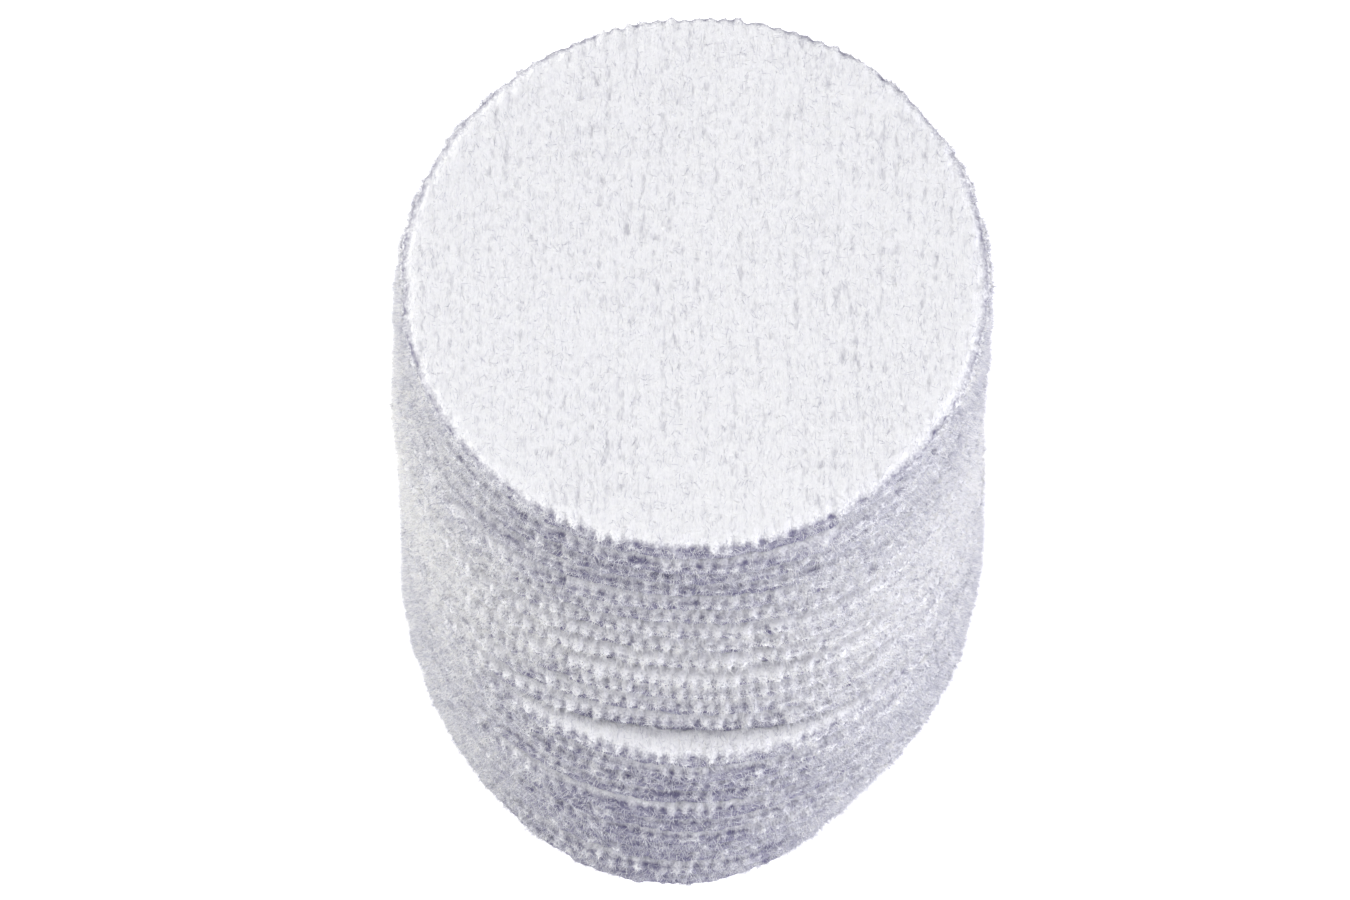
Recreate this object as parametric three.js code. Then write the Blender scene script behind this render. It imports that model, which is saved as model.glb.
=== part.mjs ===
// A free-standing pile of round die-cut cloth polishing discs.
// Millimetres, +Z up, +X to the right, +Y to the back.
// The origin is the centre of the bottom disc's underside.
import * as THREE from 'three';

// Driving dimensions.
const DISC_COUNT = 24;
const DISC_DIAMETER = 38.1;
const DISC_THICKNESS = 2.1;
const NAP_GAP = 0.1;
const EDGE_ROUND = 0.35;
const OUTLINE_POINTS = 56;

// The lowest discs were cut small: the bottom one by the most, and the others less and less.
const SMALL_DISCS = 4;
const SMALLEST_CUT = 1.7;

// The discs in the foot of the pile are also a little pointed towards the front.
const POINTED_DISCS = 7;
const POINTED_SHARE = 0.04;

// A soft disc is never a true circle: it is a little oval and a little three-cornered.
const OVAL_SHARE = 0.006;
const CORNER_SHARE = 0.003;

// How the pile leans. Each row is a disc's number, how far its centre sits right of and behind the
// bottom disc's centre, and how deep its front is pushed in. The discs between two rows follow on
// evenly.
const LEAN = [
  { disc: 1, right: 0, back: 0, dent: 0 },
  { disc: 3, right: 0.7, back: 0.4, dent: 0 },
  { disc: 8, right: 1.3, back: 0.2, dent: 0 },
  { disc: 11, right: 1.4, back: -0.1, dent: 0 },
  { disc: 12, right: 1.2, back: 0.4, dent: 1.1 },
  { disc: 14, right: 1.1, back: 0.6, dent: 1 },
  { disc: 17, right: 1, back: 0.9, dent: 0.95 },
  { disc: 20, right: 1.1, back: 1.2, dent: 0.9 },
  { disc: 24, right: 1.4, back: 1.8, dent: 0 },
];

// A dented front is pushed in most at this angle, a little to the left of straight ahead, and by less
// and less up to the half angle on each side of it.
const DENT_ANGLE = THREE.MathUtils.degToRad(-96);
const DENT_HALF_ANGLE = THREE.MathUtils.degToRad(42);

// Each disc was also dropped a little askew: it is shifted and turned by its own small amount.
const ASKEW_SHIFT = 0.08;
const ASKEW_STEP = 2.4;

const clothMaterial = new THREE.MeshStandardMaterial({
  name: 'white_felt',
  color: new THREE.Color(0.93, 0.93, 0.95),
  roughness: 0.95,
  metalness: 0,
});

// One of LEAN's columns for one disc, between the rows on each side of it.
function leanOf(disc, column) {
  const above = LEAN.find((row) => row.disc >= disc);
  const below = LEAN.findLast((row) => row.disc <= disc);
  const span = Math.max(above.disc - below.disc, 1);
  return THREE.MathUtils.lerp(below[column], above[column], (disc - below.disc) / span);
}

// The small shift that each disc above the bottom one adds to the lean.
function askewShift(disc) {
  if (disc === 1) return new THREE.Vector2(0, 0);
  const angle = disc * ASKEW_STEP;
  return new THREE.Vector2(Math.cos(angle), Math.sin(angle)).multiplyScalar(ASKEW_SHIFT);
}

// How much of an effect on the foot of the pile a disc still has: all of it on the bottom disc,
// and none from the disc above the last one that has it.
function footShare(disc, lastDisc) {
  return Math.max(0, 1 - (disc - 1) / lastDisc);
}

// How deep a disc is pushed in at an angle.
function dentAt(disc, angle) {
  const turn = angle - DENT_ANGLE;
  const sideways = Math.atan2(Math.sin(turn), Math.cos(turn)) / DENT_HALF_ANGLE;
  return Math.abs(sideways) < 1 ? leanOf(disc, 'dent') * (1 - sideways ** 2) ** 2 : 0;
}

// How far the outline is from the disc's centre at an angle, less the rounding of the edge.
function outlineRadius(disc, angle) {
  const turn = disc * ASKEW_STEP;
  const front = -Math.PI / 2;
  const oval = OVAL_SHARE * Math.cos(2 * (angle - turn));
  const corners = CORNER_SHARE * Math.cos(3 * (angle - turn));
  const point = POINTED_SHARE * footShare(disc, POINTED_DISCS) * Math.cos(3 * (angle - front));
  const radius = DISC_DIAMETER / 2 - SMALLEST_CUT * footShare(disc, SMALL_DISCS);
  return (radius - EDGE_ROUND) * (1 + oval + corners + point) - dentAt(disc, angle);
}

function discOutline(disc) {
  const points = [];
  for (let i = 0; i < OUTLINE_POINTS; i += 1) {
    const angle = (i / OUTLINE_POINTS) * 2 * Math.PI;
    const radius = outlineRadius(disc, angle);
    points.push(new THREE.Vector2(radius * Math.cos(angle), radius * Math.sin(angle)));
  }
  return new THREE.Shape(points);
}

// One disc: the outline with its edge rounded over, so that it is widest at half its thickness.
function discGeometry(disc) {
  const geometry = new THREE.ExtrudeGeometry(discOutline(disc), {
    depth: DISC_THICKNESS - 2 * EDGE_ROUND,
    bevelEnabled: true,
    bevelThickness: EDGE_ROUND,
    bevelSize: EDGE_ROUND,
    bevelSegments: 1,
  });
  geometry.translate(0, 0, EDGE_ROUND);
  return geometry;
}

function clothDisc(disc) {
  const mesh = new THREE.Mesh(discGeometry(disc), clothMaterial.clone());
  mesh.name = `felt_disc_${String(disc).padStart(2, '0')}`;
  const lean = new THREE.Vector2(leanOf(disc, 'right'), leanOf(disc, 'back'));
  const centre = lean.add(askewShift(disc));
  mesh.position.set(centre.x, centre.y, (disc - 1) * (DISC_THICKNESS + NAP_GAP));
  return mesh;
}

const pile = new THREE.Group();
for (let disc = 1; disc <= DISC_COUNT; disc += 1) {
  pile.add(clothDisc(disc));
}

export default pile;
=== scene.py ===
import itertools
import math

import bpy
import numpy as np
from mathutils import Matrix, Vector


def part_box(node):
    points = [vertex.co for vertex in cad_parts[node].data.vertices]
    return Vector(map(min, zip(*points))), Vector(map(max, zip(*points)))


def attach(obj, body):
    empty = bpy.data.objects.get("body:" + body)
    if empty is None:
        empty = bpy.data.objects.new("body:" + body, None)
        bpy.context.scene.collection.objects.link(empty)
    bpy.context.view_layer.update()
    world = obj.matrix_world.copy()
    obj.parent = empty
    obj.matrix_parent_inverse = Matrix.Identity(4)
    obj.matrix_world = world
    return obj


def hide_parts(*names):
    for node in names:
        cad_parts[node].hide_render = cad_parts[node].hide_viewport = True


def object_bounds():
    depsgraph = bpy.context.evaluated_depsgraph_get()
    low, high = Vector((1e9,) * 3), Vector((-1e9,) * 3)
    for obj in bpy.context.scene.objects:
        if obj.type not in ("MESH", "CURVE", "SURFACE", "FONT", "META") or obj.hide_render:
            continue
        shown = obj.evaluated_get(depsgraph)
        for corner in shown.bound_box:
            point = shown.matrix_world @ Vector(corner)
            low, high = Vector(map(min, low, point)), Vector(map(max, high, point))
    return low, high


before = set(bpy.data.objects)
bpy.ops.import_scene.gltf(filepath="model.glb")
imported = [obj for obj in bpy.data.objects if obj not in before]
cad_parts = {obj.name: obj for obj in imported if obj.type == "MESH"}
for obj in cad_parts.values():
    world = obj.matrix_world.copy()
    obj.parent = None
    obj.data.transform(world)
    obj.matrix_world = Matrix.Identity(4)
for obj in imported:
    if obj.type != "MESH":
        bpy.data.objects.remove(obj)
CAD_LOW, CAD_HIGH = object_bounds()

# Every size is in metres, in the CAD model's frame. A millimetre:
MM = 0.001

# The cloth: a cotton knit with a raised nap on both faces.
CUT_DIAMETER = 38.1 * MM
WALE = 0.9 * MM  # width of one column of stitches
COURSE = 0.76 * MM  # height of one row of stitches
WANDER = 0.55 * MM  # how far a column strays from straight, in slow bends and in quicker ones half as wide
SLOW_BEND = 6.5 * MM
QUICK_BEND = 2.9 * MM
BEND_DRIFT = 9 * MM  # how far sideways the quicker bends stay alike
ROW_WANDER = 0.12 * MM
ROW_BEND = 4 * MM
PILE_TURN = math.radians(9)  # how far the discs are turned from the top one, whose columns run along y
DISC_SLIP = 0.35  # of a column, the most that a disc's columns are out of line
SLIP_STEP = 2.7  # radians, how far the wave of those slips goes on from one disc to the next
BEND_STEP = 0.3  # radians, how far the slow bends do

# The mesh of a disc, from its centre out to the cut edge.
EDGE_POINTS = 720  # points round the cut edge, which halve in steps towards the centre
EDGE_RINGS = 19
EDGE_REACH = 0.4 * MM  # how far in from the edge a face starts to round over
EDGE_CURVE = 3.4  # 2 rounds the edge like an ellipse, and more makes it squarer
BAND = 3.2 * MM  # how far in from the edge the mesh of a face is finer
FINE_STEP = 0.16 * MM  # the distance between rings on the top disc's face
BAND_STEP = 0.3 * MM
UNDER_STEP = 0.4 * MM
COARSE_STEP = 0.55 * MM
CENTRE_GAP = 0.4  # of a step, how near the last ring comes to the centre
CROWDED = 0.62  # of a step, how close the points of a ring may be before every other one is dropped
SECTOR = 0.06  # radians, in which the furthest point of the CAD disc is looked for
ON_OUTLINE = 0.999  # of the furthest reach, from where on a point belongs to the outline

# The loop ends along the cut edge, one for each column or row. Lows and highs of a chance choice are pairs.
LOOP_WIDTH = 0.33  # of a column's or row's width
LOOP_SIZES = (0.4, 1.0)
LOOP_LEVELS = (0.3, 0.8)  # where it sits in the cloth: -1 is the underside and 1 the top
LOOP_HEIGHT = 0.42  # of half the thickness
LOOP_OUT = 0.6 * MM  # how far the largest stands out
ROW_LOOPS = 0.65  # how far the loop ends of rows stand out beside those of columns
CUT_ACROSS = 1.6  # how soon loop ends start where the edge turns across the columns or rows

# The height where the edges are the most ruffled, and how far from it they still are.
RUFFLED = 34 * MM
RUFFLED_SPREAD = 9 * MM

# How much of its loops a place still has: the least, what the ruffled height adds, and what patches add.
WORN_LEAST = 0.3
WORN_RUFFLED = 0.5
WORN_PATCHES = 0.2
WORN_PATCH = 3.5 * MM
WORN_SQUAT = 2  # how many times wider than high a patch is

# The relief of the cloth.
FUZZ_OUT = 0.15 * MM
FUZZ_BLOB = 0.8 * MM
FINE_FUZZ_BLOB = 0.36 * MM
FINE_FUZZ_SHARE = 0.8
EDGE_IN = 0.1 * MM  # how far the foot of the cut edge lies inside its top
FLARE = 0.5 * MM  # how much further it does so at the ruffled height
FOOT_ALONG = 0.3  # how far it does so where the cut runs along the columns, beside where it runs across
SWELL = 0.03 * MM  # how far the nap fills the gap to the next disc
NAP_RELIEF = 0.03 * MM
RIBS, STITCHES, FLUFF = 1.1, 0.5, 0.9  # of that relief, the parts of the columns, the rows and chance
FLUFF_BLOB = 0.5 * MM
FINE_FLUFF_BLOB = 0.24 * MM
FINE_FLUFF_SHARE = 0.6
KNIT_SHOWS = (0.3, 1.0)  # how far the nap lets the columns and rows show, from patch to patch
KNIT_PATCH = 3.1 * MM
RIM_RELIEF = 2.5  # how much more the nap is ruffled at the rim of a face
RIM_REACH = 0.9 * MM
RIM_SINK = 0.3 * MM  # how deep a face sinks at its rim between two loop ends
SCALLOP_REACH = 0.55 * MM  # how far in from the edge the loop ends shape a face
FACE_SHARE = 0.65  # of what the edge does sideways, a face does this much beside it
EDGE_TOP = 0.7  # the loop ends of the rounded top of an edge are those of this level
PILE_WAVE = 0.2 * MM  # how far the whole pile is dented and bowed
WAVE_BLOB = 11 * MM
WAVE_TALL = 0.6  # how many times wider than high a dent is
WAVE_FADE = 2.5  # how soon up the pile the waves are full: 1 is only at the top

# How far each thing hides the ground of the knit, from 0 for bare to 1 for hidden. The bare ground is painted
# shade, so the hollows between the loop ends, which hide it, are painted darker than the loop ends.
NAP_AND_SHADE_OF = {
    "face": 0.9,
    "loop": 1.9,
    "fuzz": (0.14, 0.38),  # on the top of an edge and on its foot, more or less by chance
    "ruffled_light_and_shade": 0.32,  # at the ruffled height, where the cut runs across the columns, the top of an edge is painted lighter and its foot darker: painted light and painted shade
    "cut_across_shade": -0.12,  # painted shade where the cut runs across the columns, on the front and back of the pile
    "cut_along_nap_and_light": 0.76,  # where it runs along them, on the sides of the pile: partly the matted nap there, partly painted light that keeps the sides paler than the front
    "top_rim_light_and_shade": (0.16, -0.3),  # painted light and painted shade on the rim of the top disc: lighter where it is cut across the columns, darker where it is cut along them
}

# The loose fibres.
FIBRE_RADIUS = 0.02 * MM
EDGE_FIBRE = 0.42 * MM
FACE_FIBRE = 0.38 * MM
FIBRE_SHAPE = 4  # the spread of their lengths, as a gamma distribution's shape: more is more alike
EDGE_FIBRES = 15000
TOP_FIBRES = 18  # on each square millimetre of the top disc's face
TOP_THINNED = 0.8  # how much fewer there are on the rounded rim of the top disc
LEDGE_FIBRES = 45  # on each square millimetre of another face that no disc covers
TINT_PATCH = 0.2 * MM  # the size of a patch of fibres of one tint
FIBRE_LEAST, EDGE_LONGEST, FACE_LONGEST = 0.3, 2.2, 2  # the limits of those lengths
EDGE_STRAY = 0.8  # how far the fibres of an edge point away from straight out
EDGE_LEVEL = 0.8  # how much of that is left up and down
EDGE_LIFT = 0.3  # how far they lean up at the top of an edge and down at its foot
LEAST_OUTWARD = 0.1  # the least of its aim that points outward before EDGE_PUSH turns a fibre that way
EDGE_PUSH = 1.3
FACE_AIM = (0.3, 1, 0)  # the fibres of a face lie along the columns more than across them
FACE_LIFT = (0.05, 0.35)
FACE_SCATTER = 0.08 * MM
EDGE_START = 0.1  # from 1 at the cut to 0 at the end of the rounding, where the fibres of an edge start
OPEN_EDGE = 0.6  # from 1 at the cut to 0 at the end of the rounding, where those of a face start
HAIR_INSIDE = 0.2 * MM  # how far under the next disc's rim they still grow
LEAST_FUZZ = 0.42  # added to the nap, so that bare ground has some fibres too
RUFFLED_FIBRE_LIGHT = 0.4  # painted light: how much paler the fibres are at the ruffled height
FIBRE_SHADE_SHIFT = -0.12  # painted shade: how much paler they are everywhere, here darker, so that away from the ruffled height they are shaded

# The colours of the nap, cool and warm in chance clumps, and of the ground of the knit under it, a dark
# violet that is painted shade for the hollows between loop ends, the foot of each edge and the front of the
# pile.
NAP_COOL = (0.84, 0.84, 0.87, 1)
NAP_WARM = (0.90, 0.90, 0.89, 1)
GROUND_SHADE = (0.115, 0.107, 0.195, 1)
FIBRE_TINTS = {
    "cool": (0.58, 0.58, 0.65, 1),
    "plain": (0.86, 0.86, 0.88, 1),
    "warm": (0.95, 0.945, 0.93, 1),
}

# The grain of the cloth in its material: the size across, and how many times longer along the columns.
HAIRS = (0.13 * MM, 4)
GRAIN = (0.16 * MM, 1)
CLUMPS = (0.8 * MM, 1)
MOTTLES = (0.45 * MM, 1)
DASHES = (0.3 * MM, 2.8)
DASH_GROUPS = (1.8 * MM, 5)
BUMP_DEPTH = 0.09 * MM
BUMP_STRENGTH = 0.9

# How the grain colours the cloth. Pairs are the factor and the offset that turn noise into a share.
MARKED = 0.4  # how dark the dashes are
DASH_SHARE = (4, -2)
GROUP_SHARE = (2.2, -0.4)
BETWEEN_COLUMNS = -14  # how narrow the gap is between two columns, where the dashes are darkest
GAP_SHARE = (0.8, 0.2)
NAP_HIDES = 1.4
MOTTLE_SHARE = (1.25, 0.25)
SPECKLE_SHARE = (3, 0.1)
STREAK_SHARE = (0.4, -0.18)
CLOTH_FINISH = {
    "Roughness": 0.95,
    "Specular IOR Level": 0.15,
    "Sheen Weight": 0.15,
    "Sheen Roughness": 0.7,
}
FIBRE_ROUGHNESS = 0.9
FIBRE_SPECULAR = 0.15
FLOOR_WHITE = (0.95, 0.95, 0.95, 1)

# Each light: place, size, power in watts, colour. All of them face the pile.
LIGHTS = {
    "overhead": ((0, -0.15, 0.85), (0.5, 0.5), 6.1, (1, 1, 0.985)),
    "left": ((-0.74, 0.1, 0.09), (0.5, 0.16), 3.3, (1, 0.995, 0.95)),
    "right": ((0.7, -0.3, 0.09), (0.5, 0.16), 3.4, (0.91, 0.91, 1)),
    "back": ((-0.1, 0.75, 0.09), (0.5, 0.16), 1.5, (1, 1, 1)),
}
AIM = Vector((0, 0, 0.03))
SKY = ((0.84, 0.84, 1, 1), 0.24)  # colour, strength
FLOOR_GLOW = 0.75
FLOOR_HALF = 1.5
FLOOR_GAP = 0.1 * MM

# The camera looks at the front of the pile from high above.
CAMERA_AIM = Vector((0.13 * MM, 2.1 * MM, 26.56 * MM))
CAMERA_ELEVATION = math.radians(64.6)
CAMERA_DISTANCE = 0.76
CAMERA_LENS = 305  # in millimetres, like the width of the sensor
SENSOR_WIDTH = 36

# Each pattern of chance has its own seed: SEED plus a number below, and the disc's number if it differs
# from disc to disc. UNDERSIDE is added to a disc's number for its other face.
SEED = 7
LOOP_LEVEL_SEED = 7
FINE_FLUFF_SEED = 40
ROW_SEED = 50
PATCH_SEED = 80
WAVE_SEED = 200
FUZZ_SEED = 300
FINE_FUZZ_SEED = 310
WEAR_SEED = 400
TINT_SEED = 500
UNDERSIDE = 500

DISC_NAMES = sorted(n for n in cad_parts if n.startswith("felt_disc_"))


# --- repeatable noise -------------------------------------------------------


def hashed(seed, *cells):
    """A number from 0 to 1 for each whole-numbered cell, the same on every run."""
    h = np.full(cells[0].shape, (seed * 9781 + 12345) % 2**32, np.uint32)
    for cell in cells:
        h = h ^ cell.astype(np.int64).astype(np.uint32)
        h = h * np.uint32(0x9E3779B1)
        h = h ^ (h >> np.uint32(15))
        h = h * np.uint32(0x85EBCA6B)
        h = h ^ (h >> np.uint32(13))
    return h / 2.0**32


def noise(seed, size, *axes):
    """Smooth noise from -1 to 1 whose blobs are about size across, in two or three dimensions."""
    low, blend = [], []
    for axis in axes:
        cell = axis / size
        base = np.floor(cell)
        part = cell - base
        low.append(base)
        blend.append(part * part * (3 - 2 * part))
    total = 0
    for corner in itertools.product((0, 1), repeat=len(axes)):
        weight = 1
        for step, share in zip(corner, blend):
            weight = weight * (share if step else 1 - share)
        total = total + weight * hashed(seed, *[b + s for b, s in zip(low, corner)])
    return 2 * total - 1


def bell(offset, width):
    """1 where the offset is 0, and almost 0 at twice the width."""
    return np.exp(-((offset / width) ** 2))


def between(ends, share):
    """The first of two ends where share is 0, and the second where it is 1."""
    low, high = ends
    return low + (high - low) * share


# --- the knit ---------------------------------------------------------------


def cloth_turn(disc):
    return 0 if disc == len(DISC_NAMES) else PILE_TURN


def knit_place(x, y, disc):
    """Where a point lies in the knit, counted in columns and rows. The discs were cut together, so their
    columns nearly line up."""
    turn = cloth_turn(disc)
    x, y = x * math.cos(turn) - y * math.sin(turn), x * math.sin(turn) + y * math.cos(turn)
    slip = DISC_SLIP * WALE * math.sin(SLIP_STEP * disc)
    slow = np.sin(y / SLOW_BEND + BEND_STEP * disc)
    stray = WANDER * (slow + 0.5 * np.sin(y / QUICK_BEND + x / BEND_DRIFT))
    column = (x + slip + stray * 0.5) / WALE
    row = (y + ROW_WANDER * np.sin(x / ROW_BEND + disc)) / COURSE
    return column, row


def loop_end(place, width):
    """1 on the middle of a column or row and 0 between two of them."""
    return bell(place - np.round(place), width)


def face_relief(x, y, pattern):
    """How far the nap stands above or below a disc's face."""
    column, row = knit_place(x, y, pattern)
    ribs = loop_end(column, LOOP_WIDTH) - 0.5
    stitches = loop_end(row + 0.5 * (np.round(column) % 2), LOOP_WIDTH) - 0.5
    fine_fluff = noise(SEED + FINE_FLUFF_SEED + pattern, FINE_FLUFF_BLOB, x, y)
    fluff = noise(SEED + pattern, FLUFF_BLOB, x, y) + FINE_FLUFF_SHARE * fine_fluff
    patch = between(KNIT_SHOWS, 0.5 + 0.5 * noise(SEED + PATCH_SEED + pattern, KNIT_PATCH, x, y))
    return NAP_RELIEF * (RIBS * ribs * patch + STITCHES * stitches * patch + FLUFF * fluff)


def knob(place, seed, side, level):
    """The loop ends along one cut, from 0 to 1: a knob for each column or row, each of chance size and at a
    chance level in the thickness of the cloth."""
    which = np.round(place)
    size = between(LOOP_SIZES, hashed(seed, which, side))
    centre = between(LOOP_LEVELS, hashed(seed + LOOP_LEVEL_SEED, which, side))
    return size * loop_end(place, LOOP_WIDTH) * bell(level - centre, LOOP_HEIGHT)


def ruffled(z):
    """1 at the height where the edges are the most ruffled, and 0 far from it."""
    return bell(z - RUFFLED, RUFFLED_SPREAD)


def worn(x, y, z):
    """How much of its loops a place still has, up to 1."""
    patches = noise(SEED + WEAR_SEED, WORN_PATCH, x, y, z * WORN_SQUAT)
    return WORN_LEAST + WORN_RUFFLED * ruffled(z) + WORN_PATCHES * patches


def edge_shape(x, y, z, level, across, along, disc):
    """(how far the cut edge stands out, how far it is a loop end from 0 to 1). across and along are the parts
    of the edge's outward direction across the columns and along them, and level goes from -1 to 1."""
    column, row = knit_place(x, y, disc)
    of_column = knob(column, SEED + disc, np.sign(along), level) * np.clip(CUT_ACROSS * along**2, 0, 1)
    of_row = knob(row, SEED + ROW_SEED + disc, np.sign(across), level) * np.clip(CUT_ACROSS * across**2, 0, 1)
    tufts = np.maximum(of_column, ROW_LOOPS * of_row) * worn(x, y, z)
    foot_in = (EDGE_IN + FLARE * ruffled(z)) * between((FOOT_ALONG, 1), along**2)
    return LOOP_OUT * tufts - foot_in * (0.5 - 0.5 * level), tufts


def pile_wave(x, y, z):
    """The slow dents of the whole pile. They fade out at the floor, so that the bottom disc lies flat, and
    neighbouring discs share them, so that they stay clear of each other."""
    height = z / (CAD_HIGH.z - CAD_LOW.z)
    fade = np.clip(height * WAVE_FADE, 0, 1)
    return PILE_WAVE * fade * noise(SEED + WAVE_SEED, WAVE_BLOB, x, y, z * WAVE_TALL)


# --- a disc -----------------------------------------------------------------


def cad_outline(node):
    """(centre, radii) of a CAD disc: the middle of its box, and how far its outline is from there at
    EDGE_POINTS even angles."""
    low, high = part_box(node)
    middle = (low + high) / 2
    points = np.array([v.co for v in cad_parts[node].data.vertices])
    offset = points[:, :2] - np.array([middle.x, middle.y])
    angle = np.arctan2(offset[:, 1], offset[:, 0])
    reach = np.hypot(offset[:, 0], offset[:, 1])
    widest = reach > ON_OUTLINE * np.interp(angle, *furthest(angle, reach), period=2 * np.pi)
    order = np.argsort(angle[widest])
    angles = np.arange(EDGE_POINTS) * 2 * np.pi / EDGE_POINTS
    radii = np.interp(angles, angle[widest][order], reach[widest][order], period=2 * np.pi)
    return middle, radii


def furthest(angle, reach):
    """The furthest point in each small sector, as (angles, reaches)."""
    sector = np.round(angle / SECTOR).astype(int)
    kept = [np.flatnonzero(sector == s)[np.argmax(reach[sector == s])] for s in np.unique(sector)]
    return angle[kept], reach[kept]


def face_rings(steps, height):
    """The rings of one face from its rounded edge to its centre. steps is a list of (how far in, step)."""
    rings, inset, count = [], EDGE_REACH, EDGE_POINTS
    for reach, step in steps:
        while inset + step < reach:
            inset += step
            around = 2 * math.pi * (CUT_DIAMETER / 2 - inset)
            if inset > BAND and count % 2 == 0 and around / count < CROWDED * step:
                count //= 2
            rings.append((inset, height, count))
    return rings


def ring_plan(half, fine_top):
    """The rings of a disc from the centre of its top face, over the edge, to the centre of its underside.
    Each is (how far in from the edge, height above the middle, number of points)."""
    radius = CUT_DIAMETER / 2
    band_step, inner_step = (FINE_STEP, FINE_STEP) if fine_top else (BAND_STEP, COARSE_STEP)
    top = face_rings([(BAND, band_step), (radius - CENTRE_GAP * inner_step, inner_step)], half)
    under = face_rings([(BAND, UNDER_STEP), (radius - CENTRE_GAP * COARSE_STEP, COARSE_STEP)], -half)
    edge = []
    for level in np.linspace(1, -1, EDGE_RINGS):
        rounding = 1 - (1 - abs(level) ** EDGE_CURVE) ** (1 / EDGE_CURVE)
        edge.append((EDGE_REACH * rounding, half * level, EDGE_POINTS))
    return top[::-1] + edge + under


def edge_nap_and_shade(tufts, fuzz, z, up, across, along, fine_top):
    """How far the nap hides the ground on and near the cut edge. Where it is low the material shows the
    ground's painted shade, and the terms for the ruffled height, the cut across and along the columns and the
    top disc's rim paint light and shade.
    """
    return (
        NAP_AND_SHADE_OF["loop"] * tufts
        + between(NAP_AND_SHADE_OF["fuzz"], 0.5 - 0.5 * up) * fuzz
        + NAP_AND_SHADE_OF["ruffled_light_and_shade"] * ruffled(z) * along**2 * up
        + NAP_AND_SHADE_OF["cut_across_shade"] * along**2
        + NAP_AND_SHADE_OF["cut_along_nap_and_light"] * across**2 * (1 - up**4)
        + between(NAP_AND_SHADE_OF["top_rim_light_and_shade"], across**2) * fine_top * max(up, 0) ** 4
    )


def ring_surface(inset, up, count, middle, radii, half, disc, fine_top):
    """One ring of a disc's surface, as disc_surface describes it."""
    angle = np.arange(count) * 2 * np.pi / count
    outward = np.stack([np.cos(angle), np.sin(angle), np.zeros(count)], 1)
    across, along = np.cos(angle + cloth_turn(disc)), np.sin(angle + cloth_turn(disc))
    reach = radii[:: EDGE_POINTS // count] * (1 - inset / (CUT_DIAMETER / 2))
    x, y = middle.x + reach * outward[:, 0], middle.y + reach * outward[:, 1]
    z = np.full(count, middle.z + up * half)
    edge = max(0.0, 1 - inset / EDGE_REACH)
    shape, tufts = edge_shape(x, y, z, min(up, EDGE_TOP), across, along, disc)
    fine_fuzz = noise(SEED + FINE_FUZZ_SEED, FINE_FUZZ_BLOB, x, y, z)
    fuzz = noise(SEED + FUZZ_SEED, FUZZ_BLOB, x, y, z) + FINE_FUZZ_SHARE * fine_fuzz
    scallop = bell(inset, SCALLOP_REACH)
    out = scallop * between((FACE_SHARE, 1), edge) * (shape + FUZZ_OUT * fuzz)
    rough = 1 + RIM_RELIEF * bell(inset, RIM_REACH)
    relief = (1 - edge) * rough * face_relief(x, y, disc if up > 0 else disc + UNDERSIDE) * np.sign(up)
    relief = relief - RIM_SINK * scallop * (1 - tufts) * max(up, 0) ** 2
    x, y = x + out * outward[:, 0], y + out * outward[:, 1]
    z = z + relief + up * SWELL + pile_wave(x, y, z)
    rim = scallop**2
    ring_step = FINE_STEP if fine_top else BAND_STEP
    return {
        "place": np.stack([x, y, z], 1),
        "outward": outward,
        "edge": np.full(count, edge),
        "area": np.full(count, 2 * math.pi * (CUT_DIAMETER / 2 - inset) / count * ring_step),
        "up": np.full(count, up),
        "cut": np.full(count, rim),
        # nap also carries painted shade: where it is low, the material shows the dark violet painted shade
        # between loop ends and on the foot of an edge.
        "nap": rim * edge_nap_and_shade(tufts, fuzz, z, up, across, along, fine_top) + (1 - rim) * NAP_AND_SHADE_OF["face"],
    }


def disc_surface(node, disc, fine_top):
    """The surface of one disc, as a dict of arrays with one entry for each point, and the rings they lie in,
    each as (first point, number of points). The arrays are place, outward (the level direction out of the
    disc), edge (1 on the cut edge and 0 on the faces), area, up (1 on the top face and -1 on the underside),
    cut (1 at the cut and 0 far from it) and nap (0 where the ground and its painted shade are bare and 1
    where nap hides them)."""
    low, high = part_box(node)
    middle, radii = cad_outline(node)
    half = (high.z - low.z) / 2
    rings, parts = [], []
    first = 0
    for inset, height, count in ring_plan(half, fine_top):
        parts.append(ring_surface(inset, height / half, count, middle, radii, half, disc, fine_top))
        rings.append((first, count))
        first += count
    return {key: np.concatenate([part[key] for part in parts]) for key in parts[0]}, rings


def strip(upper, lower):
    """The triangles between two rings that have the same number of points, or one twice the other's."""
    (a, n), (b, m) = upper, lower
    i = np.arange(min(n, m))
    j = (i + 1) % min(n, m)
    if n == m:
        return np.concatenate([np.stack([a + i, b + i, b + j], 1), np.stack([a + i, b + j, a + j], 1)])
    big, small = (a, b) if n > m else (b, a)
    left, mid, right = big + 2 * i, big + 2 * i + 1, big + (2 * i + 2) % max(n, m)
    near, far = small + i, small + j
    triangles = [np.stack(t, 1) for t in ((left, near, mid), (mid, near, far), (mid, far, right))]
    triangles = np.concatenate(triangles)
    return triangles if n > m else triangles[:, ::-1]


def fan(ring, centre, upward):
    """The triangles that close the smallest ring of a face."""
    first, count = ring
    i = np.arange(count)
    j = (i + 1) % count
    triangles = np.stack([np.full(count, centre), first + i, first + j], 1)
    return triangles if upward else triangles[:, ::-1]


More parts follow.
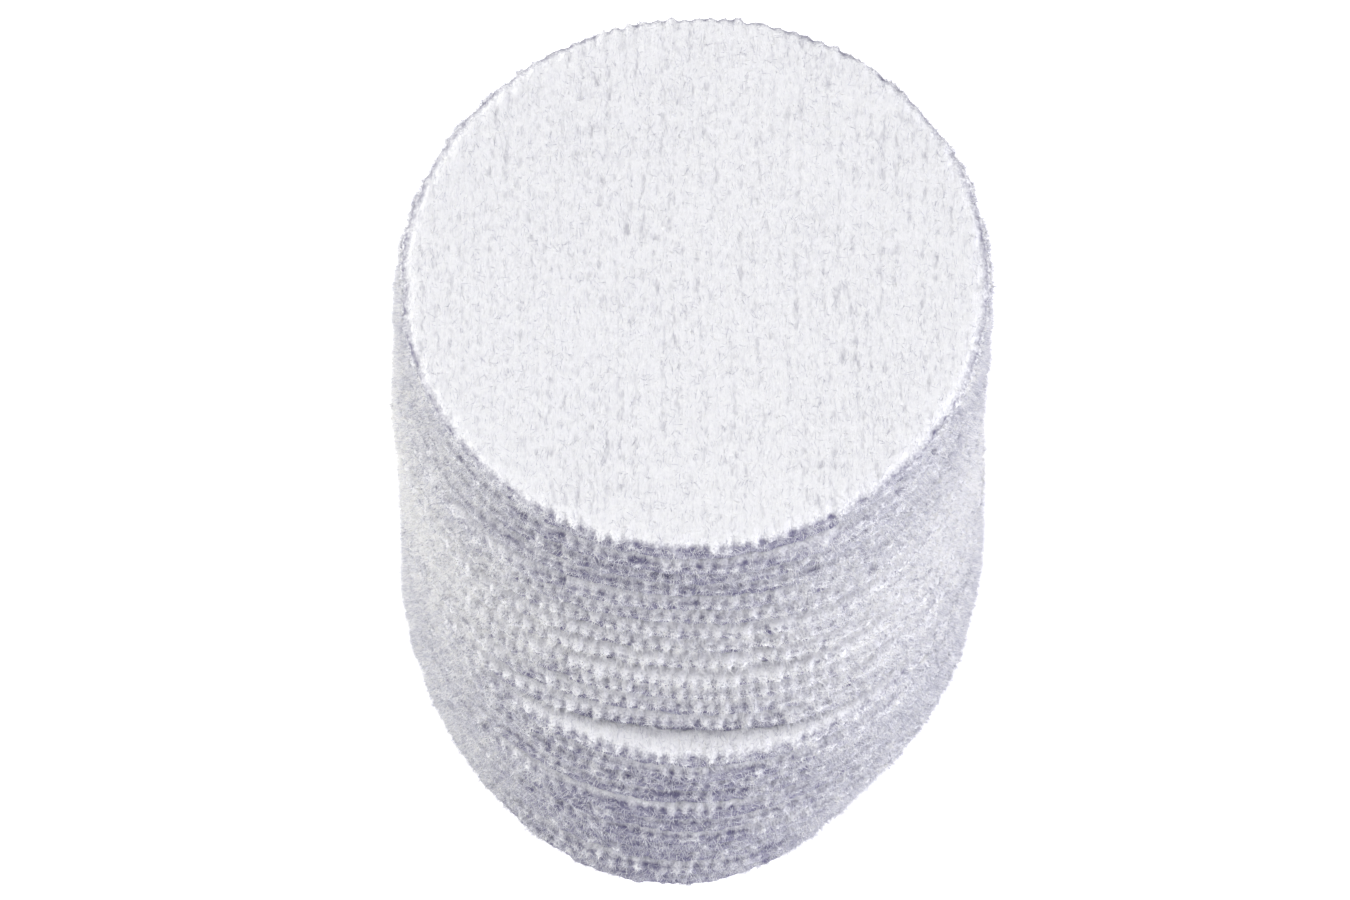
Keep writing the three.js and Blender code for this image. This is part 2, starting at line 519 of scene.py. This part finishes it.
def triangle_mesh(name, points, triangles):
    """A new smooth-shaded object."""
    mesh = bpy.data.meshes.new(name)
    mesh.vertices.add(len(points))
    mesh.vertices.foreach_set("co", points.astype(np.float32).ravel())
    mesh.loops.add(3 * len(triangles))
    mesh.loops.foreach_set("vertex_index", triangles.astype(np.int32).ravel())
    mesh.polygons.add(len(triangles))
    mesh.polygons.foreach_set("loop_start", np.arange(0, 3 * len(triangles), 3, dtype=np.int32))
    mesh.polygons.foreach_set("use_smooth", np.ones(len(triangles), bool))
    mesh.update(calc_edges=True)
    piece = bpy.data.objects.new(name, mesh)
    bpy.context.scene.collection.objects.link(piece)
    return piece


def remember(piece, name, values):
    """Keep one number for each point of a mesh, for its material."""
    kept = piece.data.attributes.new(name, "FLOAT", "POINT")
    kept.data.foreach_set("value", values.astype(np.float32))


def cloth_disc(disc, surface, rings):
    """The whole cloth of one disc as a closed mesh."""
    points = surface["place"]
    ends = [points[a : a + n].mean(0) for a, n in (rings[0], rings[-1])]
    triangles = [strip(upper, lower) for upper, lower in zip(rings, rings[1:])]
    triangles += [fan(rings[0], len(points), True), fan(rings[-1], len(points) + 1, False)]
    points = np.concatenate([points, ends])
    piece = triangle_mesh(f"cloth_{disc:02d}", points, np.concatenate(triangles))
    remember(piece, "column", knit_place(points[:, 0], points[:, 1], disc)[0])
    # The nap share: where it is low the material paints shade.
    remember(piece, "nap", np.append(surface["nap"], [NAP_AND_SHADE_OF["face"]] * len(ends)))
    remember(piece, "cut", np.append(surface["cut"], [0] * len(ends)))
    return piece


# --- loose fibres -----------------------------------------------------------


def unit(vectors):
    return vectors / np.linalg.norm(vectors, axis=1, keepdims=True)


def fibres(name, roots, aims, lengths, rng):
    """Many fine fibres as one mesh. Each is a closed three-sided spike from its root along its aim."""
    count = len(roots)
    side = unit(np.cross(aims, unit(rng.normal(size=(count, 3)))))
    other = np.cross(aims, side)
    turns = (0, 2 * math.pi / 3, 4 * math.pi / 3)
    corners = [roots + FIBRE_RADIUS * (side * math.cos(t) + other * math.sin(t)) for t in turns]
    points = np.stack(corners + [roots + aims * lengths[:, None]], 1)
    spike = np.array([(0, 2, 1), (0, 1, 3), (1, 2, 3), (2, 0, 3)])
    triangles = np.arange(count)[:, None, None] * points.shape[1] + spike
    piece = triangle_mesh(name, points.reshape(-1, 3), triangles.reshape(-1, 3))
    # Each fibre's tint is a chance patch, shifted paler at the ruffled height as painted light and darker
    # elsewhere as painted shade.
    patch = hashed(SEED + TINT_SEED, *np.floor(roots / TINT_PATCH).T)
    tint_and_light = patch + RUFFLED_FIBRE_LIGHT * ruffled(roots[:, 2]) + FIBRE_SHADE_SHIFT
    tint = np.clip(tint_and_light * len(FIBRE_TINTS), 0, len(FIBRE_TINTS) - 1).astype(np.int32)
    piece.data.polygons.foreach_set("material_index", np.repeat(tint, len(spike)))
    return piece


def chance_lengths(amount, longest, rng):
    """Lengths around 1."""
    return rng.gamma(FIBRE_SHAPE, 1 / FIBRE_SHAPE, amount).clip(FIBRE_LEAST, longest)


def edge_roots(surface, amount, top_thinned, rng):
    """The fuzz on a disc's cut edge, thickest on the loop ends, as (roots, aims, lengths). top_thinned is how
    much less of it there is on the rounded top of the edge."""
    weight = (surface["edge"] > EDGE_START) * (LEAST_FUZZ + np.clip(surface["nap"], 0, 1)) ** 2
    weight = weight * (1 - top_thinned * np.clip(surface["up"], 0, 1) ** 4)
    chosen = rng.choice(len(weight), amount, p=weight / weight.sum())
    outward = surface["outward"][chosen]
    roots = surface["place"][chosen] - outward * 2 * FIBRE_RADIUS
    aims = outward + EDGE_STRAY * rng.normal(size=(amount, 3))
    aims[:, 2] = aims[:, 2] * EDGE_LEVEL + EDGE_LIFT * surface["up"][chosen]
    inward = (aims * outward).sum(1) < LEAST_OUTWARD
    aims[inward] += outward[inward] * EDGE_PUSH
    lengths = EDGE_FIBRE * chance_lengths(amount, EDGE_LONGEST, rng)
    return roots, unit(aims), lengths


def face_roots(surface, open_face, density, rng):
    """The nap brushed over the open part of a top face, mostly along the columns."""
    area = surface["area"] * open_face
    amount = int(density * area.sum() / MM**2)
    if not amount:
        return np.zeros((0, 3)), np.zeros((0, 3)), np.zeros(0)
    chosen = rng.choice(len(area), amount, p=area / area.sum())
    roots = surface["place"][chosen] + rng.normal(size=(amount, 3)) * (FACE_SCATTER, FACE_SCATTER, 0)
    roots[:, 2] -= FIBRE_RADIUS
    aims = rng.normal(size=(amount, 3)) * FACE_AIM
    aims[:, 2] = rng.uniform(*FACE_LIFT, amount)
    lengths = FACE_FIBRE * chance_lengths(amount, FACE_LONGEST, rng)
    return roots, unit(aims), lengths


def beyond(surface, above):
    """Which points of a disc lie outside the rim of the disc on it, or at most a hair inside."""
    rim = above["place"][above["edge"] == above["edge"].max()][:, :2]
    middle = rim.mean(0)
    rim_angle = np.arctan2(rim[:, 1] - middle[1], rim[:, 0] - middle[0])
    order = np.argsort(rim_angle)
    rim_reach = np.hypot(*(rim - middle).T)[order]
    offset = surface["place"][:, :2] - middle
    angle = np.arctan2(offset[:, 1], offset[:, 0])
    covered = np.interp(angle, rim_angle[order], rim_reach, period=2 * np.pi)
    return np.hypot(offset[:, 0], offset[:, 1]) > covered - HAIR_INSIDE


def fuzz_piece(disc, surface, above):
    """The loose fibres of one disc. above is the surface of the disc that lies on it, or None."""
    rng = np.random.default_rng(SEED * 100 + disc)
    open_face = (surface["up"] == 1) & (surface["edge"] < OPEN_EDGE)
    density, top_thinned = TOP_FIBRES, TOP_THINNED
    if above:
        density, top_thinned = LEDGE_FIBRES, 0
        open_face &= beyond(surface, above)
    made = [
        edge_roots(surface, EDGE_FIBRES, top_thinned, rng),
        face_roots(surface, open_face, density, rng),
    ]
    roots, aims, lengths = (np.concatenate(parts) for parts in zip(*made))
    return fibres(f"nap_fibres_{disc:02d}", roots, aims, lengths, rng)


# --- materials --------------------------------------------------------------


class Tree:
    """A short way to write a material's nodes."""

    def __init__(self, material):
        material.use_nodes = True
        self.nodes, self.links = material.node_tree.nodes, material.node_tree.links
        self.place = self.add("ShaderNodeTexCoord").outputs["Object"]

    def add(self, kind, inputs=(), **settings):
        node = self.nodes.new(kind)
        for key, value in settings.items():
            setattr(node, key, value)
        for key, value in dict(inputs).items():
            if isinstance(value, bpy.types.NodeSocket):
                self.links.new(value, node.inputs[key])
            else:
                node.inputs[key].default_value = value
        return node

    def maths(self, operation, a, b=0.0, c=0.0, clamp=False):
        node = self.add("ShaderNodeMath", {0: a, 1: b, 2: c}, operation=operation, use_clamp=clamp)
        return node.outputs[0]

    def scaled(self, value, by, plus=0.0, clamp=False):
        return self.maths("MULTIPLY_ADD", value, by, plus, clamp)

    def remembered(self, name):
        return self.add("ShaderNodeAttribute", attribute_name=name).outputs["Fac"]

    def noise(self, grain, detail):
        """Noise around 0.5 whose largest blobs have the size across, and the length, that grain says."""
        size, longer = grain
        place = self.add("ShaderNodeMapping", {"Vector": self.place, "Scale": (1, 1 / longer, 1)}).outputs[0]
        inputs = {"Vector": place, "Scale": 1 / size, "Detail": detail, "Roughness": 0.6}
        return self.add("ShaderNodeTexNoise", inputs).outputs["Fac"]

    def mix(self, share, a, b):
        return self.add("ShaderNodeMix", {0: share, 6: a, 7: b}, data_type="RGBA").outputs[2]


def face_marks(tree):
    """0 to 1: the faint dark dashes of a face, where the ground shows between two columns. They come in loose
    groups, and the nap hides most of them."""
    dashes = tree.scaled(tree.noise(DASHES, 1), *DASH_SHARE, clamp=True)
    groups = tree.scaled(tree.noise(DASH_GROUPS, 1), *GROUP_SHARE, clamp=True)
    off = tree.maths("SUBTRACT", tree.maths("FRACT", tree.remembered("column")), 0.5)
    gap = tree.maths("EXPONENT", tree.scaled(tree.maths("MULTIPLY", off, off), BETWEEN_COLUMNS))
    often = tree.maths("MULTIPLY", groups, tree.scaled(gap, *GAP_SHARE))
    on_face = tree.maths("SUBTRACT", 1, tree.remembered("cut"))
    return tree.maths("MULTIPLY", tree.maths("MULTIPLY", dashes, often), on_face)


def cloth_material():
    mat = bpy.data.materials.new("napped_cotton")
    tree = Tree(mat)
    shader = tree.nodes["Principled BSDF"]
    for socket, value in CLOTH_FINISH.items():
        shader.inputs[socket].default_value = value
    hairs = tree.noise(HAIRS, 2)
    grain = tree.noise(GRAIN, 2)
    clumps = tree.noise(CLUMPS, 3)
    marks = face_marks(tree)
    # Painted shade: where nap is low, the dark violet ground colour shows, mottled, for the hollows between
    # loop ends, the foot of each edge and the front of the pile. The face dashes and chance spots add to it.
    nap = tree.scaled(tree.remembered("nap"), NAP_HIDES, clamp=True)
    mottles = tree.scaled(tree.noise(MOTTLES, 3), *MOTTLE_SHARE, clamp=True)
    bare_shade = tree.maths("MULTIPLY", tree.maths("SUBTRACT", 1, nap), mottles)
    cut_nap = tree.maths("MULTIPLY", tree.remembered("cut"), nap)
    speckle = tree.maths("MULTIPLY", tree.scaled(grain, 1, -0.5), tree.scaled(cut_nap, *SPECKLE_SHARE))
    streaks = tree.scaled(hairs, *STREAK_SHARE)
    spots = tree.maths("ADD", speckle, streaks)
    shade_and_marks = tree.maths("ADD", tree.scaled(marks, MARKED, bare_shade), spots, clamp=True)
    colour = tree.mix(shade_and_marks, tree.mix(clumps, NAP_COOL, NAP_WARM), GROUND_SHADE)
    tree.links.new(colour, shader.inputs["Base Color"])
    height = tree.maths("SUBTRACT", tree.maths("ADD", tree.maths("ADD", hairs, grain), clumps), marks)
    bump = tree.add("ShaderNodeBump", {"Height": height, "Strength": BUMP_STRENGTH, "Distance": BUMP_DEPTH})
    tree.links.new(bump.outputs[0], shader.inputs["Normal"])
    return mat


def matt(name, colour, roughness, specular):
    """(a material of one colour, its shader)."""
    mat = bpy.data.materials.new(name)
    mat.use_nodes = True
    shader = mat.node_tree.nodes["Principled BSDF"]
    shader.inputs["Base Color"].default_value = colour
    shader.inputs["Roughness"].default_value = roughness
    shader.inputs["Specular IOR Level"].default_value = specular
    return mat, shader


def fibre_materials():
    """One finish for each tint: a fibre has one tint from end to end."""
    made = [(f"cotton_fibre_{name}", tint) for name, tint in FIBRE_TINTS.items()]
    return [matt(name, tint, FIBRE_ROUGHNESS, FIBRE_SPECULAR)[0] for name, tint in made]


# --- stage ------------------------------------------------------------------


def floor():
    mesh = bpy.data.meshes.new("floor")
    below = CAD_LOW.z - FLOOR_GAP
    corners = [(x * FLOOR_HALF, y * FLOOR_HALF, below) for x, y in ((-1, -1), (1, -1), (1, 1), (-1, 1))]
    mesh.from_pydata(corners, [], [(0, 1, 2, 3)])
    piece = bpy.data.objects.new("floor", mesh)
    bpy.context.scene.collection.objects.link(piece)
    mat, shader = matt("floor_white", FLOOR_WHITE, 1, 0)
    shader.inputs["Emission Color"].default_value = (1, 1, 1, 1)
    shader.inputs["Emission Strength"].default_value = FLOOR_GLOW
    mesh.materials.append(mat)


def soft_light(name, place, size, power, colour):
    light = bpy.data.lights.new(name, "AREA")
    light.shape = "RECTANGLE"
    light.size, light.size_y = size
    light.energy = power
    light.color = colour
    lamp = bpy.data.objects.new(name, light)
    lamp.location = place
    lamp.rotation_euler = (AIM - Vector(place)).to_track_quat("-Z", "Y").to_euler()
    bpy.context.scene.collection.objects.link(lamp)


def studio():
    for name, light in LIGHTS.items():
        soft_light(name, *light)
    world = bpy.data.worlds.new("studio")
    world.use_nodes = True
    sky = world.node_tree.nodes["Background"].inputs
    sky["Color"].default_value, sky["Strength"].default_value = SKY
    bpy.context.scene.world = world
    bpy.context.scene.view_settings.view_transform = "Standard"


def camera():
    back = Vector((0, -math.cos(CAMERA_ELEVATION), math.sin(CAMERA_ELEVATION)))
    data = bpy.data.cameras.new("camera")
    data.sensor_width = SENSOR_WIDTH
    data.lens = CAMERA_LENS
    data.dof.use_dof = False
    cam = bpy.data.objects.new("camera", data)
    cam.location = CAMERA_AIM + back * CAMERA_DISTANCE
    cam.rotation_euler = (-back).to_track_quat("-Z", "Y").to_euler()
    bpy.context.scene.collection.objects.link(cam)
    bpy.context.scene.camera = cam


# --- the pile ---------------------------------------------------------------


def place_piece(piece, node, materials):
    for mat in materials:
        piece.data.materials.append(mat)
    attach(piece, node)


def pile():
    cloth_finish, fibre_finishes = cloth_material(), fibre_materials()
    numbered = list(enumerate(DISC_NAMES, start=1))
    made = [disc_surface(node, disc, node == DISC_NAMES[-1]) for disc, node in numbered]
    for disc, node in numbered:
        surface, rings = made[disc - 1]
        above = made[disc][0] if disc < len(made) else None
        cloth = cloth_disc(disc, surface, rings)
        place_piece(cloth, node, [cloth_finish])
        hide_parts(node)
        fibre_piece = fuzz_piece(disc, surface, above)
        place_piece(fibre_piece, node, fibre_finishes)


camera()
studio()
floor()
pile()
